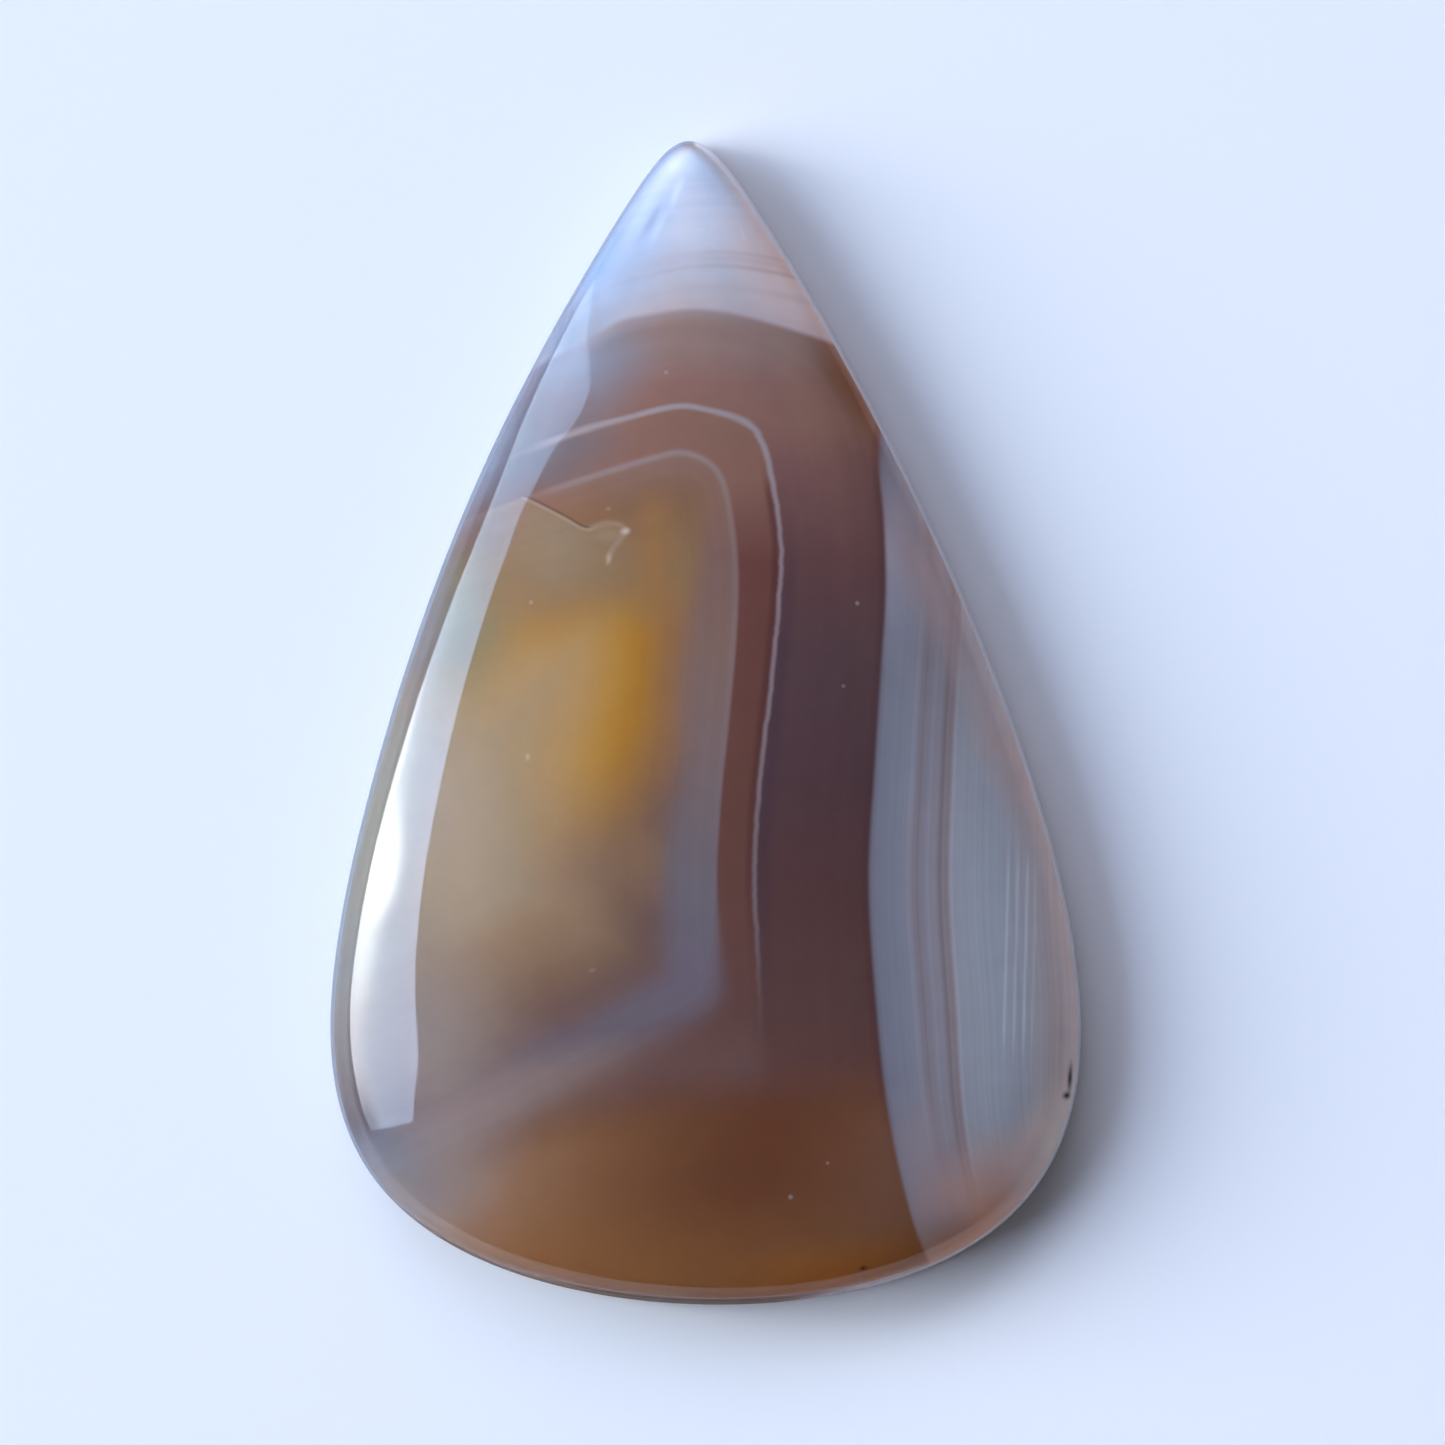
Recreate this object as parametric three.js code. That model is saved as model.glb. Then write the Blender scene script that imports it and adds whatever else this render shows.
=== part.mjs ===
// A pear-shaped cabochon of banded agate: one piece of stone with a flat back, a bevel round
// the back, a steep edge and a low polished dome that runs out to the tip.
// Millimetres, +Z up. +Y points to the tip. The origin is on the flat back, under the middle
// of the stone's outline.
import * as THREE from "three";

// The stone's size.
const LENGTH = 40;
const THICKNESS = 5;
const EDGE_HEIGHT = 2.1; // from the back up to the foot of the dome
const EDGE_LEAN = 0.2; // how far the edge leans in over that height
const BACK_BEVEL = 0.35; // a 45 degree bevel round the back

// The foot of the dome seen from above: y = cosine of t from the tip to the butt, and at each t
// a half width and a midline, both as cosine series in t.
const HALF_WIDTH_TERMS = [11.6, -8.48, 1.06, -0.65];
const MIDLINE_TERMS = [0.15, -0.14, 0.25, -0.11, 0.1, -0.06];
const FOOT_HALF_LENGTH = LENGTH / 2 - EDGE_LEAN;

// The dome: 0.5 would make every cross-section half an ellipse, and less makes it fuller.
// The straight share of each section, next to the foot, has a constant slope instead, near 50 degrees.
const DOME_FULLNESS = 0.47;
const STRAIGHT_SHARE = 0.06;
const DOME_RISE = THICKNESS - EDGE_HEIGHT;

// The mesh.
const POINTS_ROUND = 144;
const DOME_RINGS = 18;
const RING_CENTRE = new THREE.Vector2(0, -5);

const STONE = new THREE.MeshStandardMaterial({
  color: 0x8a6a5c,
  roughness: 0.08,
  metalness: 0,
});

const cosineSeries = (terms, t) =>
  terms.reduce((sum, term, n) => sum + term * Math.cos(n * t), 0);

// The right flank has t from 0 to pi, and the left flank, where the sine is negative, the rest.
const halfWidthAt = (t) => Math.sin(t) * cosineSeries(HALF_WIDTH_TERMS, t);
const midlineAt = (t) => cosineSeries(MIDLINE_TERMS, t);
const footPoint = (t) =>
  new THREE.Vector2(midlineAt(t) + halfWidthAt(t), FOOT_HALF_LENGTH * Math.cos(t));

const angles = Array.from(
  { length: POINTS_ROUND },
  (_, i) => (2 * Math.PI * i) / POINTS_ROUND,
);

function widestHalfWidth() {
  return Math.max(...angles.map(halfWidthAt));
}

// A cross-section's height, where inside goes from 0 at the foot to 1 on the midline.
function sectionHeight(inside) {
  const straightTop = STRAIGHT_SHARE ** DOME_FULLNESS;
  const foot = straightTop * (1 - DOME_FULLNESS);
  const straight = foot + straightTop * DOME_FULLNESS * (inside / STRAIGHT_SHARE);
  const curved = inside ** DOME_FULLNESS;
  return ((inside < STRAIGHT_SHARE ? straight : curved) - foot) / (1 - foot);
}

// The dome's height above its foot, over a point of the outline's inside.
function domeHeight(point, widest) {
  const t = Math.acos(THREE.MathUtils.clamp(point.y / FOOT_HALF_LENGTH, -1, 1));
  const halfWidth = halfWidthAt(t);
  const inside = 1 - ((point.x - midlineAt(t)) / halfWidth) ** 2;
  const sectionSize = (halfWidth / widest) ** (2 * DOME_FULLNESS);
  return DOME_RISE * sectionSize * sectionHeight(Math.max(inside, 0));
}

// The dome's foot moved out by a distance, square to the outline.
function footMovedOut(distance) {
  const step = 1e-4;
  return angles.map((t) => {
    const along = footPoint(t + step).sub(footPoint(t - step)).normalize();
    return footPoint(t).add(new THREE.Vector2(-along.y, along.x).multiplyScalar(distance));
  });
}

const atHeight = (points, z) => points.map((p) => new THREE.Vector3(p.x, p.y, z));

// Rings of points from the rim of the flat back, up the edge and in over the dome.
function ringsOfStone() {
  const widest = widestHalfWidth();
  const foot = footMovedOut(0);
  const rings = [
    atHeight(footMovedOut(EDGE_LEAN - BACK_BEVEL), 0),
    atHeight(footMovedOut(EDGE_LEAN), BACK_BEVEL),
    atHeight(foot, EDGE_HEIGHT),
  ];
  for (let ring = DOME_RINGS - 1; ring > 0; ring--) {
    const share = Math.sin((Math.PI / 2) * (ring / DOME_RINGS));
    rings.push(
      foot.map((p) => {
        const inside = RING_CENTRE.clone().lerp(p, share);
        return new THREE.Vector3(inside.x, inside.y, EDGE_HEIGHT + domeHeight(inside, widest));
      }),
    );
  }
  return rings;
}

// One closed surface from the rings, with a fan to a middle point on the back and on the dome.
function stoneGeometry() {
  const rings = ringsOfStone();
  const top = EDGE_HEIGHT + domeHeight(RING_CENTRE, widestHalfWidth());
  const points = [
    ...rings.flat(),
    new THREE.Vector3(RING_CENTRE.x, RING_CENTRE.y, 0),
    new THREE.Vector3(RING_CENTRE.x, RING_CENTRE.y, top),
  ];
  const backMiddle = points.length - 2;
  const domeMiddle = points.length - 1;
  const lastRing = (rings.length - 1) * POINTS_ROUND;
  const faces = [];
  for (let i = 0; i < POINTS_ROUND; i++) {
    const next = (i + 1) % POINTS_ROUND;
    faces.push(backMiddle, i, next);
    faces.push(domeMiddle, lastRing + next, lastRing + i);
    for (let start = 0; start < lastRing; start += POINTS_ROUND) {
      const above = start + POINTS_ROUND;
      faces.push(start + i, above + i, start + next);
      faces.push(start + next, above + i, above + next);
    }
  }
  const geometry = new THREE.BufferGeometry().setFromPoints(points);
  geometry.setIndex(faces);
  geometry.computeVertexNormals();
  return geometry;
}

// The middle of the outline's box, which goes over the origin.
function middleOfOutline() {
  const box = new THREE.Box2().setFromPoints(footMovedOut(EDGE_LEAN));
  return box.getCenter(new THREE.Vector2());
}

const stone = new THREE.Mesh(stoneGeometry(), STONE);
stone.name = "agate_cabochon";
const middle = middleOfOutline();
stone.position.set(-middle.x, -middle.y, 0);

const group = new THREE.Group();
group.add(stone);

export default group;
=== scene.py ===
import math

import bpy
import numpy as np
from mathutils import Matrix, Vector


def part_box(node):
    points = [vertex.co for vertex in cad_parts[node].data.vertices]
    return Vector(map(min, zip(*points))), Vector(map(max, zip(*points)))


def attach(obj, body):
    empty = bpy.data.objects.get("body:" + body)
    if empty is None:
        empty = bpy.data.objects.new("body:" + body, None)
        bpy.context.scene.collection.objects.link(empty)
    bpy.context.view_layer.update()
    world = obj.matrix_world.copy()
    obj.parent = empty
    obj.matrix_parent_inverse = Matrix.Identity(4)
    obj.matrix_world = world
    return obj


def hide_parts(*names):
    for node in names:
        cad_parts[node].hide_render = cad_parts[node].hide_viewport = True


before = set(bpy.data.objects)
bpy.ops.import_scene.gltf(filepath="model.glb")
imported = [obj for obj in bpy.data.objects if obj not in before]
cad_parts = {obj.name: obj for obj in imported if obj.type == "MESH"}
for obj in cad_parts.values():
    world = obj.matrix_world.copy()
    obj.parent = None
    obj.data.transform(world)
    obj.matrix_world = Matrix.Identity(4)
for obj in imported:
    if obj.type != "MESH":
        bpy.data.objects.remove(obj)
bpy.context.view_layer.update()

NODE = "agate_cabochon"
MM = 0.001

# The stone's form, in millimetres, as in the CAD model.
EDGE_HEIGHT = 2.1
EDGE_LEAN = 0.2
BACK_BEVEL = 0.35
HALF_WIDTH_TERMS = (11.6, -8.48, 1.06, -0.65)
MIDLINE_TERMS = (0.15, -0.14, 0.25, -0.11, 0.10, -0.06)
DOME_FULLNESS = 0.47
STRAIGHT_SHARE = 0.06
RING_CENTRE_Y = -5.0

# How finely the stone is meshed, and how its edges are eased.
POINTS_ROUND = 560
DOME_RINGS = 110
BACK_EDGE_RADIUS = 0.10
SIDE_EDGE_RADIUS = 0.14
FOOT_EASE = 0.18
FOOT_EASE_SHARE = 0.987
EDGE_STEPS = 4
WALL_STEPS = 4
# The back's outermost ring lies this far in from the dome's foot. The others lie at these shares of the
# way out to it.
BACK_INSET = 1.2
BACK_SHARES = (0.02, 0.2, 0.4, 0.6, 0.8)
# At the stone's two ends, half widths count as no less than these.
NARROWEST_DOME = 1e-6
NARROWEST_FACE = 0.3
# Distances inside the edge are taken from one in four of the outline's points.
OUTLINE_STEP = 4

stone_low, stone_high = (np.array(corner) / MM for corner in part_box(NODE))
THICKNESS = stone_high[2] - stone_low[2]
FOOT_HALF_LENGTH = (stone_high[1] - stone_low[1]) / 2 - EDGE_LEAN
DOME_RISE = THICKNESS - EDGE_HEIGHT

# The bands, as curves through points (x, y) in millimetres on the face of the stone.
# The cap is the pale tip.
CAP_EDGE = (
    (-8.0, 10.6), (-5.7, 12.2), (-3.6, 13.25), (-2.9, 13.6), (-2.2, 13.97), (-1.3, 14.12), (0.3, 14.27),
    (2.1, 13.95), (4.9, 13.05), (8.0, 11.9),
)
# The two pale lines run over the top of the heart and down its right side.
OUTER_LINE = (
    (-9.0, 8.0), (-6.8, 9.1), (-4.3, 10.0), (-2.3, 10.5), (-0.4, 10.92), (0.8, 10.7), (2.0, 10.25),
    (2.5, 9.6), (2.85, 8.0), (3.04, 6.0), (2.9, 3.9), (2.55, 1.1), (2.05, -2.4), (1.82, -5.4),
    (1.87, -8.3), (1.88, -10.6), (1.9, -14.0), (1.9, -22.0),
)
INNER_LINE = (
    (-9.5, 6.8), (-7.6, 7.35), (-5.0, 8.2), (-2.6, 8.9), (-1.1, 9.3), (-0.3, 9.42), (0.5, 9.15),
    (1.05, 8.6), (1.35, 7.6), (1.55, 5.4), (1.43, 3.0), (1.1, 0.1), (0.77, -2.4), (0.53, -5.2),
    (0.52, -8.0), (0.42, -9.45), (-0.6, -10.25), (-3.55, -11.6), (-6.9, -13.3), (-10.5, -15.0),
    (-14.0, -16.8),
)
# The curtain is the blue-grey side with the fine upright bands.
CURTAIN_EDGE = (
    (7.7, 13.4), (7.1, 11.6), (6.62, 10.0), (6.5, 8.6), (6.6, 6.9), (6.6, 4.4), (6.37, 1.9), (6.05, -1.5),
    (5.72, -5.5), (5.85, -9.8), (6.2, -13.7), (6.9, -17.2), (7.8, -19.6), (8.4, -21.0),
)
CRACK = (
    (-6.6, 8.35), (-5.5, 7.85), (-4.4, 7.25), (-3.65, 6.82), (-3.1, 6.9), (-2.5, 6.78), (-1.6, 6.3),
    (0.0, 5.6),
)
HOOK = (
    (-3.5, 6.80), (-3.05, 6.93), (-2.6, 6.92), (-2.25, 6.72), (-2.5, 6.36), (-2.75, 6.05), (-2.9, 5.75),
)
CURVE_STEPS = 10

# The curves are traced as the photo shows them, and so are a little larger than the bands on the face.
TRACED_LARGER = 1.012
# Below the face the bands lean this far, for each millimetre of depth.
BANDS_LEAN = (0.30, 0.12)


def cosine_series(terms, t):
    return sum(term * np.cos(n * t) for n, term in enumerate(terms))


def half_width(t):
    return np.sin(t) * cosine_series(HALF_WIDTH_TERMS, t)


def midline(t):
    return cosine_series(MIDLINE_TERMS, t)


ROUND = np.linspace(0, 2 * math.pi, POINTS_ROUND, endpoint=False)
WIDEST = half_width(ROUND).max()
FOOT = np.stack([midline(ROUND) + half_width(ROUND), FOOT_HALF_LENGTH * np.cos(ROUND)], 1)


def foot_moved_out(distance):
    """The dome's foot moved out, square to the outline."""
    along = np.roll(FOOT, -1, 0) - np.roll(FOOT, 1, 0)
    along /= np.linalg.norm(along, axis=1)[:, None]
    return FOOT + distance * np.stack([-along[:, 1], along[:, 0]], 1)


MIDDLE = (foot_moved_out(EDGE_LEAN).min(0) + foot_moved_out(EDGE_LEAN).max(0)) / 2


def section_height(inside):
    """A cross-section's height, where inside goes from 0 at the foot to 1 on the midline."""
    straight_top = STRAIGHT_SHARE ** DOME_FULLNESS
    foot = straight_top * (1 - DOME_FULLNESS)
    straight = foot + straight_top * DOME_FULLNESS * inside / STRAIGHT_SHARE
    return (np.where(inside < STRAIGHT_SHARE, straight, inside ** DOME_FULLNESS) - foot) / (1 - foot)


def angle_at(points):
    """The angle whose stretch of the outline is level with each point."""
    return np.arccos(np.clip(points[:, 1] / FOOT_HALF_LENGTH, -1, 1))


def dome_height(points):
    """The height over the back of the dome's surface."""
    t = angle_at(points)
    half = np.maximum(half_width(t), NARROWEST_DOME)
    inside = 1 - ((points[:, 0] - midline(t)) / half) ** 2
    size = (half / WIDEST) ** (2 * DOME_FULLNESS)
    return EDGE_HEIGHT + DOME_RISE * size * section_height(np.maximum(inside, 0))


def eased_corner(before, corner, after, radius):
    """Points that round a corner of the edge's profile."""
    before, corner, after = (np.array(p) for p in (before, corner, after))
    into = (before - corner) / np.linalg.norm(before - corner)
    out = (after - corner) / np.linalg.norm(after - corner)
    return [
        tuple(corner + radius * ((1 - t) ** 2 * into + t ** 2 * out))
        for t in np.linspace(0, 1, EDGE_STEPS + 1)
    ]


def edge_profile():
    """The edge from the back to just below the dome's foot, as (distance out, height)."""
    inside = (-BACK_INSET, 0.0)
    back_edge = (EDGE_LEAN - BACK_BEVEL, 0.0)
    side_edge = (EDGE_LEAN, BACK_BEVEL)
    top = (EDGE_LEAN * FOOT_EASE / EDGE_HEIGHT, EDGE_HEIGHT - FOOT_EASE)
    corners = eased_corner(inside, back_edge, side_edge, BACK_EDGE_RADIUS)
    corners += eased_corner(back_edge, side_edge, top, SIDE_EDGE_RADIUS)
    low, high = np.array(corners[-1]), np.array(top)
    wall = [tuple(low * (1 - t) + high * t) for t in np.linspace(0, 1, WALL_STEPS + 1)[1:]]
    return [inside] + corners + wall


def ring(points, z):
    return np.column_stack([points, np.broadcast_to(z, len(points))])


def dome_ring(share):
    centre = np.array([0, RING_CENTRE_Y])
    points = centre + (FOOT - centre) * share
    return ring(points, dome_height(points))


def eased_foot(below, above):
    """Rings that round the corner between the edge and the dome."""
    corner = ring(FOOT, EDGE_HEIGHT)
    shares = np.linspace(0, 1, EDGE_STEPS + 1)[1:]
    return [(1 - t) ** 2 * below + 2 * t * (1 - t) * corner + t ** 2 * above for t in shares]


def stone_rings():
    """The stone's surface as rings of points, from the back's middle over the edge to the top."""
    centre = np.array([0, RING_CENTRE_Y])
    edge = [ring(foot_moved_out(out), z) for out, z in edge_profile()]
    inner = edge[0][:, :2]
    back = [ring(centre + (inner - centre) * share, 0) for share in BACK_SHARES]
    foot = eased_foot(edge[-1], dome_ring(FOOT_EASE_SHARE))
    turns = np.linspace(math.asin(FOOT_EASE_SHARE), 0, DOME_RINGS + 1)[1:-1]
    return back + edge + foot + [dome_ring(math.sin(turn)) for turn in turns]


def stone_mesh():
    centre = np.array([[0, RING_CENTRE_Y]])
    rings = stone_rings()
    ends = [ring(centre, 0), ring(centre, dome_height(centre))]
    points = np.concatenate(rings + ends)
    points[:, :2] -= MIDDLE
    n = POINTS_ROUND
    last = (len(rings) - 1) * n
    back_middle, dome_middle = len(points) - 2, len(points) - 1
    faces = []
    for i in range(n):
        j = (i + 1) % n
        faces.append((back_middle, i, j))
        faces.append((dome_middle, last + j, last + i))
        faces.extend((start + i, start + n + i, start + n + j, start + j) for start in range(0, last, n))
    mesh = bpy.data.meshes.new("agate")
    mesh.from_pydata((points * MM).tolist(), [], faces)
    mesh.shade_smooth()
    add_band_attributes(mesh, points)
    return mesh


def smooth_curve(points):
    """A smooth curve through the points, as a fine run of short lines."""
    p = np.array(points, float)
    p = np.vstack([2 * p[0] - p[1], p, 2 * p[-1] - p[-2]])
    t = np.linspace(0, 1, CURVE_STEPS, endpoint=False)[:, None]
    spans = [
        b + 0.5 * t * (c - a + t * (2 * a - 5 * b + 4 * c - d + t * (3 * b - a - 3 * c + d)))
        for a, b, c, d in zip(p, p[1:], p[2:], p[3:])
    ]
    return np.vstack(spans + [p[-2:-1]])


def distance_left_of(points, curve):
    """How far the points lie from a curve, counted as negative on its right."""
    nearest = np.full(len(points), np.inf)
    side = np.ones(len(points))
    for start, end in zip(curve, curve[1:]):
        along = end - start
        share = np.clip((points - start) @ along / (along @ along), 0, 1)
        gap = points - start - share[:, None] * along
        distance = np.hypot(gap[:, 0], gap[:, 1])
        closer = distance < nearest
        nearest[closer] = distance[closer]
        side[closer] = np.sign(along[0] * gap[:, 1] - along[1] * gap[:, 0])[closer]
    return nearest * side


def across_curtain(points):
    """How far to the right of the curtain's edge."""
    edge = smooth_curve(CURTAIN_EDGE)[::-1]
    return points[:, 0] - np.interp(points[:, 1], edge[:, 1], edge[:, 0])


def across_face(points):
    """Where each point lies from the left side (-1) to the right side (1) of the outline."""
    t = angle_at(points)
    return (points[:, 0] - midline(t)) / np.maximum(half_width(t), NARROWEST_FACE)


def distance_inside_edge(points):
    outline = FOOT[::OUTLINE_STEP]
    return -distance_left_of(points, np.vstack([outline, outline[:1]]))


def add_band_attributes(mesh, points):
    """Where each point of the surface lies among the bands, in millimetres."""
    unmoved = points[:, :2] + MIDDLE
    depth = np.maximum(dome_height(unmoved) - points[:, 2], 0)
    flat = points[:, :2] * TRACED_LARGER + depth[:, None] * np.array(BANDS_LEAN)
    place = np.column_stack([flat, depth])
    mesh.attributes.new("place", "FLOAT_VECTOR", "POINT").data.foreach_set("vector", place.ravel())
    distances = {
        "past_cap_edge": distance_left_of(flat, smooth_curve(CAP_EDGE)),
        "inside_outer_line": -distance_left_of(flat, smooth_curve(OUTER_LINE)),
        "inside_inner_line": -distance_left_of(flat, smooth_curve(INNER_LINE)),
        "across_curtain": across_curtain(flat),
        "above_crack": distance_left_of(flat, smooth_curve(CRACK)),
        "above_hook": distance_left_of(flat, smooth_curve(HOOK)),
        "across_face": across_face(unmoved),
        "inside_edge": distance_inside_edge(unmoved),
    }
    for name, values in distances.items():
        mesh.attributes.new(name, "FLOAT", "POINT").data.foreach_set("value", values)


# Noise goes from 0 to 1.
NOISE_MIDDLE = 0.5
SHIFT_DETAIL = 1.5
# Ovals of colour reach through the whole stone, unless they have a depth of their own.
FULL_DEPTH = 16.0


class Paint:
    """Adds nodes to a material or a light. Each method gives back the socket that its nodes end in."""

    def __init__(self, tree):
        self.tree = tree

    def feed(self, socket, value):
        if isinstance(value, bpy.types.NodeSocket):
            self.tree.links.new(value, socket)
        else:
            socket.default_value = value

    def node(self, kind, inputs, output=0, **settings):
        node = self.tree.nodes.new(kind)
        for name, value in settings.items():
            setattr(node, name, value)
        for key, value in inputs.items():
            self.feed(node.inputs[key], value)
        return node.outputs[output]

    def part(self, vector, axis):
        return self.node("ShaderNodeSeparateXYZ", {0: vector}, axis)

    def attribute(self, name, output="Fac"):
        return self.node("ShaderNodeAttribute", {}, output, attribute_name=name)

    def math(self, operation, a, b=0.0):
        return self.node("ShaderNodeMath", {0: a, 1: b}, operation=operation)

    def product(self, first, *others):
        for other in others:
            first = self.math("MULTIPLY", first, other)
        return first

    def sloped(self, value, across, slope, middle=0.0):
        """A value less a slope times how far across is from its middle."""
        return self.math("SUBTRACT", value, self.product(self.math("SUBTRACT", across, middle), slope))

    def noise(self, where, scale, detail=2.0):
        """Noise from 0 to 1, over a place or along a distance."""
        key, dimensions = ("Vector", "3D") if where.type == "VECTOR" else ("W", "1D")
        inputs = {key: where, "Scale": scale, "Detail": detail}
        return self.node("ShaderNodeTexNoise", inputs, 0, noise_dimensions=dimensions)

    def shifted(self, place, scale, most):
        """A place moved by noise, at most so far."""
        inputs = {"Vector": place, "Scale": scale, "Detail": SHIFT_DETAIL}
        noise = self.node("ShaderNodeTexNoise", inputs, 1)
        middle = (NOISE_MIDDLE,) * 3
        move = self.node("ShaderNodeVectorMath", {0: noise, 1: middle}, operation="SUBTRACT")
        move = self.node("ShaderNodeVectorMath", {0: move, 3: 2 * most}, operation="SCALE")
        return self.node("ShaderNodeVectorMath", {0: place, 1: move}, operation="ADD")

    def scaled(self, colour, factor):
        return self.node("ShaderNodeVectorMath", {0: colour, 3: factor}, operation="SCALE")

    def tinted(self, colour, tint):
        return self.node("ShaderNodeVectorMath", {0: colour, 1: tint}, operation="MULTIPLY")

    def step(self, value, low, high, bottom=0.0, top=1.0):
        """A smooth step from bottom to top as value goes from low to high."""
        inputs = {"Value": value, "From Min": low, "From Max": high, "To Min": bottom, "To Max": top}
        return self.node("ShaderNodeMapRange", inputs, interpolation_type="SMOOTHSTEP")

    def stroke(self, distance, centre, half_width):
        """1 on a line at a distance, fading to 0 half a width away."""
        return self.step(self.math("ABSOLUTE", self.math("SUBTRACT", distance, centre)), half_width, 0.0)

    def border(self, distance, softness):
        """A soft step from 0 to 1 over a curve."""
        return self.step(self.math("DIVIDE", distance, softness), -1.0, 1.0)

    def mix(self, amount, under, over):
        return self.node("ShaderNodeMix", {0: amount, 6: under, 7: over}, 2, data_type="RGBA")

    def wash(self, amount, under, colour):
        """The same as mix, with a plain colour on top."""
        return self.mix(amount, under, (*colour, 1))

    def mixed(self, amount, under, over):
        """The same as mix, for numbers."""
        return self.node("ShaderNodeMix", {0: amount, 2: under, 3: over}, 0, data_type="FLOAT")

    def ramp(self, value, stops, kind):
        """Colours along a value, from (value, colour) stops."""
        low, high = stops[0][0], stops[-1][0]
        share = self.node("ShaderNodeMapRange", {"Value": value, "From Min": low, "From Max": high})
        node = self.tree.nodes.new("ShaderNodeValToRGB")
        self.feed(node.inputs[0], share)
        node.color_ramp.interpolation = kind
        elements = node.color_ramp.elements
        while len(elements) < len(stops):
            elements.new(0.5)
        for element, (at, colour) in zip(elements, stops):
            element.position = (at - low) / (high - low)
            element.color = (*colour, 1)
        return node.outputs[0]

    def level(self, value, stops):
        """A number along a value, from (value, number) stops."""
        return self.ramp(value, [(at, (number,) * 3) for at, number in stops], "CARDINAL")

    def spot(self, place, centre, radii, turn, strength, depth=FULL_DEPTH):
        """A soft oval: strength in its middle, 0 from its radii and its depth out."""
        inputs = {
            "Vector": place,
            "Location": (*centre, 0),
            "Rotation": (0, 0, math.radians(turn)),
            "Scale": (*radii, depth),
        }
        inside = self.node("ShaderNodeMapping", inputs, vector_type="TEXTURE")
        share = self.node("ShaderNodeTexGradient", {"Vector": inside}, 1, gradient_type="SPHERICAL")
        return self.step(share, 0.0, 1.0, 0.0, strength)

    def pools(self, place, under, pools, depth=FULL_DEPTH):
        """Soft ovals of colour over a colour."""
        for centre, radii, turn, colour, strength in pools.values():
            under = self.wash(self.spot(place, centre, radii, turn, strength, depth), under, colour)
        return under

    def within(self, place, spot, low, high):
        """0 where a spot is weaker than low, rising to 1 where it is high."""
        return self.step(self.spot(place, *spot), low, high)

    def stroked(self, distance, seen, under, stroke):
        """A stroke along a curve over a colour, as far as it is seen."""
        centre, half_width, strength, colour = stroke
        amount = self.product(self.stroke(distance, centre, half_width), seen, strength)
        return self.wash(amount, under, colour)

    def uneven(self, colour, where, scale, detail, contrast, darkest):
        """A colour times a factor that noise raises, by its contrast, from its darkest."""
        lighter = self.product(self.noise(where, scale, detail), contrast)
        return self.scaled(colour, self.math("ADD", lighter, darkest))


# Colours are linear red, green and blue. A ramp's stops are (where, colour), in millimetres.
# A pool of colour is: its centre, its radii, its turn in degrees, its colour and its strength.
# A spot, within which something is seen, is: its centre, radii, turn, strength and depth.
# A stroke is: its distance from its curve, its half width, its strength and its colour.
# A slope is: how steep it is, and where it changes nothing.
# A fade is a soft step from 0 to 1 between two values. Two more numbers are what it goes from and to.

CAP_COLOURS = (
    (12.0, (0.50, 0.375, 0.335)), (14.2, (0.46, 0.385, 0.37)), (15.5, (0.49, 0.465, 0.48)),
    (17.0, (0.56, 0.56, 0.60)), (19.5, (0.46, 0.51, 0.60)),
)
CAP_POOLS = {
    # The blue at the cap's left is partly the cap's own colour and partly a painted sheen of the sky.
    "blue left and painted sheen": ((-2.7, 15.8), (2.8, 4.4), -26, (0.34, 0.41, 0.50), 1.0),
    "blue low left": ((-4.2, 13.5), (2.0, 2.4), -30, (0.275, 0.28, 0.305), 1.0),
    "blue streak": ((-1.0, 17.6), (0.9, 2.4), -28, (0.38, 0.46, 0.58), 0.8),
    "warm right": ((3.3, 15.3), (1.9, 4.2), 30, (0.69, 0.53, 0.48), 1.0),
}
# Fine marks in the cap.
CAP_MARKS = {
    "dark streak": ((-1.2, 17.4), (0.20, 1.15), -36, (0.24, 0.28, 0.36), 0.55),
    "pale streak by it": ((-0.85, 17.3), (0.22, 1.1), -36, (0.56, 0.63, 0.70), 0.5),
    "pale streak": ((-0.15, 18.3), (0.24, 0.9), -20, (0.62, 0.69, 0.75), 0.6),
    "pale tip": ((0.1, 19.2), (0.8, 0.5), 0, (0.56, 0.62, 0.70), 0.6),
    "fleck": ((2.1, 16.7), (0.08, 0.5), 25, (0.66, 0.60, 0.59), 0.7),
}
# The brown arcs run above the cap's edge, at these distances from it.
CAP_ARC_COLOUR = (0.36, 0.23, 0.19)
CAP_ARCS = {
    "lower": (1.45, 0.14, 0.32, CAP_ARC_COLOUR),
    "upper": (1.92, 0.13, 0.24, CAP_ARC_COLOUR),
    "wide": (1.7, 0.26, 0.20, CAP_ARC_COLOUR),
    "lowest": (0.72, 0.2, 0.13, CAP_ARC_COLOUR),
}
CAP_ARCS_SLOPE = 0.09
CAP_ARCS_RIGHT_FADE = (-3.5, 4.0, 0.25, 1.1)
# Tints across the cap: painted shade, cool, along its left edge, and painted light along its right edge.
CAP_SIDE_LIGHT_AND_SHADE_TINTS = (
    (-1.0, (0.60, 0.69, 0.86)), (-0.75, (0.86, 0.87, 0.90)), (-0.45, (1.03, 1.0, 0.99)),
    (0.5, (1.0, 1.0, 1.0)), (0.75, (1.0, 0.99, 0.98)), (1.0, (1.2, 1.12, 1.1)),
)
CAP_EDGE_FADE = (-0.14, 0.12)
# A pale haze lies just below the middle of the cap's edge.
CAP_HAZE = (0.0, 0.6, 0.3, (0.42, 0.39, 0.39))
CAP_HAZE_RIGHT_FADE = (3.5, 0.5)
CAP_HAZE_LEFT_FADE = (-4.5, -2.5)

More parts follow.
